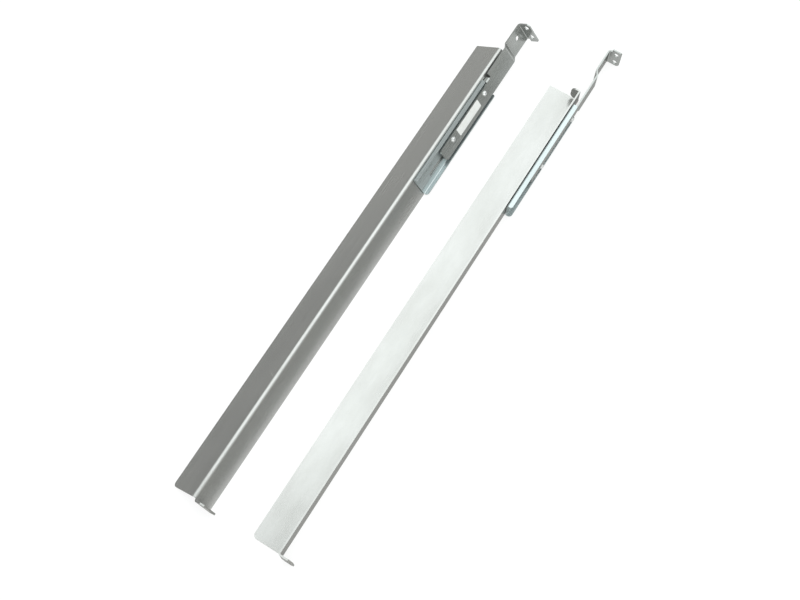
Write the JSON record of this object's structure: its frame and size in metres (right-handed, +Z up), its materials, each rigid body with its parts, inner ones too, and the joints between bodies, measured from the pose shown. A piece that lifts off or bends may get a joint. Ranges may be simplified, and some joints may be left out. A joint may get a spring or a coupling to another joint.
{
  "type": "sliding server rail pair",
  "caption": "Mirrored pair of L-shaped steel rack rails with a front ear, each with a slotted channel and bracket that slide to reach the rear rack post.",
  "frame": {"origin": "centre of the pair's footprint, on the surface it lies on", "axes": "+Y along the rails from the front ears to the rear brackets, +X from the left rail to the right rail, +Z up"},
  "size_m": [0.169, 0.7502, 0.0349],
  "materials": {
    "rail_zinc": "zinc plated sheet, satin, with long faint scuffs",
    "channel_zinc": "bright zinc plated sheet",
    "bracket_zinc": "zinc plated plate, darker and satin",
    "fastener_zinc": "zinc plated fasteners"
  },
  "bodies": {
    "rails": {"left_rail_angle": "rail_zinc", "left_front_stud": "fastener_zinc", "left_rear_stud": "fastener_zinc", "left_stud_washers": "fastener_zinc", "right_rail_angle": "rail_zinc", "right_front_stud": "fastener_zinc", "right_rear_stud": "fastener_zinc", "right_stud_washers": "fastener_zinc"},
    "slider_left": {"left_guide_channel": "channel_zinc", "left_rear_bracket": "bracket_zinc", "left_front_standoff": "fastener_zinc", "left_rear_standoff": "fastener_zinc", "left_bracket_screws": "fastener_zinc", "left_lock_washers": "fastener_zinc"},
    "slider_right": {"right_guide_channel": "channel_zinc", "right_rear_bracket": "bracket_zinc", "right_front_standoff": "fastener_zinc", "right_rear_standoff": "fastener_zinc", "right_bracket_screws": "fastener_zinc", "right_lock_washers": "fastener_zinc"}
  },
  "joints": [
    {"name": "left_bracket_slide", "type": "slide", "parent": "rails", "child": "slider_left", "axis": [0, 1, 0], "range_m": [-0.018, 0.072]},
    {"name": "right_bracket_slide", "type": "slide", "parent": "rails", "child": "slider_right", "axis": [0, 1, 0], "range_m": [-0.0465, 0.0435]}
  ]
}
